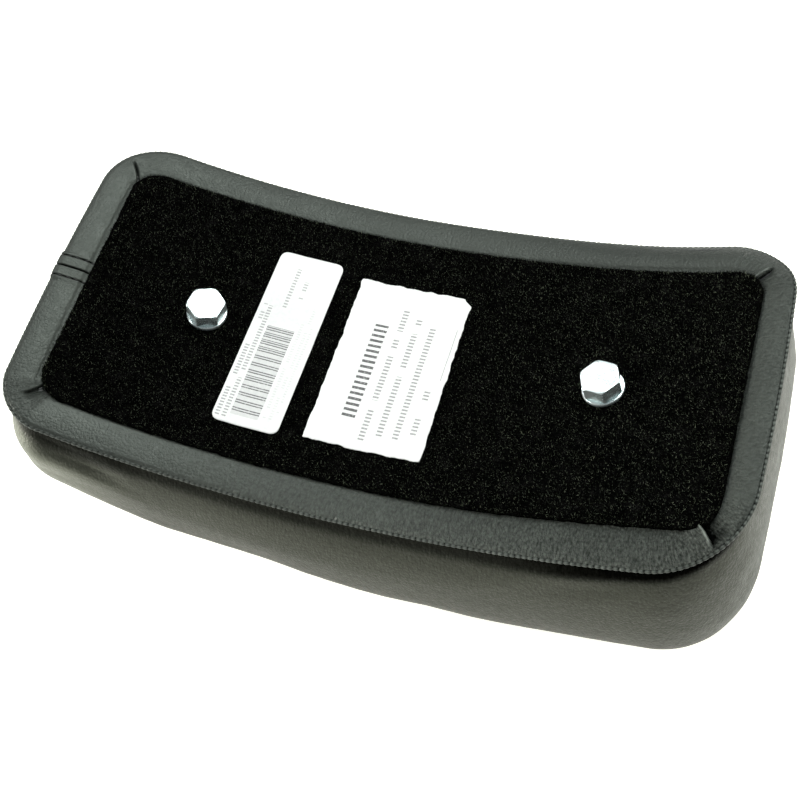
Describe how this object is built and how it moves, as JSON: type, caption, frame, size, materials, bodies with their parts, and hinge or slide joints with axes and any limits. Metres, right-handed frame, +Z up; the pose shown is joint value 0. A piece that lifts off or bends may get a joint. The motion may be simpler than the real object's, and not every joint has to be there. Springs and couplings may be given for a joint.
{
  "type": "chair armrest pad",
  "caption": "Bent upholstered rest pad with a sewn leather cover over foam, a carpeted hollow back and hex bolts that screw into nuts inside its base.",
  "frame": {"origin": "on the ground under the middle of the pad, which lies on its padded front", "axes": "+X along the pad's length towards its plain end, +Y across it, +Z up out of the hollow carpeted back"},
  "size_m": [0.2686, 0.14, 0.0875],
  "materials": {
    "base_plate": "moulded, matt",
    "nuts": "zinc plated",
    "foam": "moulded open-cell foam, matt",
    "cover_leather": "satin, fine pebbled grain",
    "thread": "bonded thread",
    "bead": "satin",
    "staples": "bare wire",
    "carpet": "short cut pile",
    "label_paper": "matt",
    "bolts": "bright zinc plate",
    "washers": "bright zinc plate"
  },
  "bodies": {
    "pad": {"base_plate": "base_plate", "nut_left": "nuts", "nut_right": "nuts", "foam_cushion": "foam", "cover_face_panel": "cover_leather", "cover_side_band": "cover_leather", "cover_turn_under": "cover_leather", "face_seam_thread": "thread", "end_seam_thread": "thread", "rim_bead": "bead", "staples": "staples", "carpet_facing": "carpet", "label_narrow": "label_paper", "label_wide": "label_paper"},
    "left_washer": {"washer_left": "washers"},
    "left_bolt": {"bolt_left": "bolts"},
    "right_washer": {"washer_right": "washers"},
    "right_bolt": {"bolt_right": "bolts"}
  },
  "joints": [
    {"name": "left_bolt_lift", "type": "slide", "parent": "pad", "child": "left_washer", "axis": [0.2103, 0, 0.9776], "range_m": [0, 0.0156]},
    {"name": "left_bolt_turn", "type": "hinge", "parent": "left_washer", "child": "left_bolt", "pos_m": [-0.07444, 0, 0.06992], "axis": [0.2103, 0, 0.9776], "range_deg": [0, 3960]},
    {"name": "right_bolt_lift", "type": "slide", "parent": "pad", "child": "right_washer", "axis": [-0.2103, 0, 0.9776], "range_m": [0, 0.0156]},
    {"name": "right_bolt_turn", "type": "hinge", "parent": "right_washer", "child": "right_bolt", "pos_m": [0.07444, 0, 0.06992], "axis": [-0.2103, 0, 0.9776], "range_deg": [0, 3960]}
  ],
  "couplings": [
    {"joint": "left_bolt_lift", "follows": "left_bolt_turn", "m_per_rad": 0.00022458},
    {"joint": "right_bolt_lift", "follows": "right_bolt_turn", "m_per_rad": 0.00022458}
  ]
}
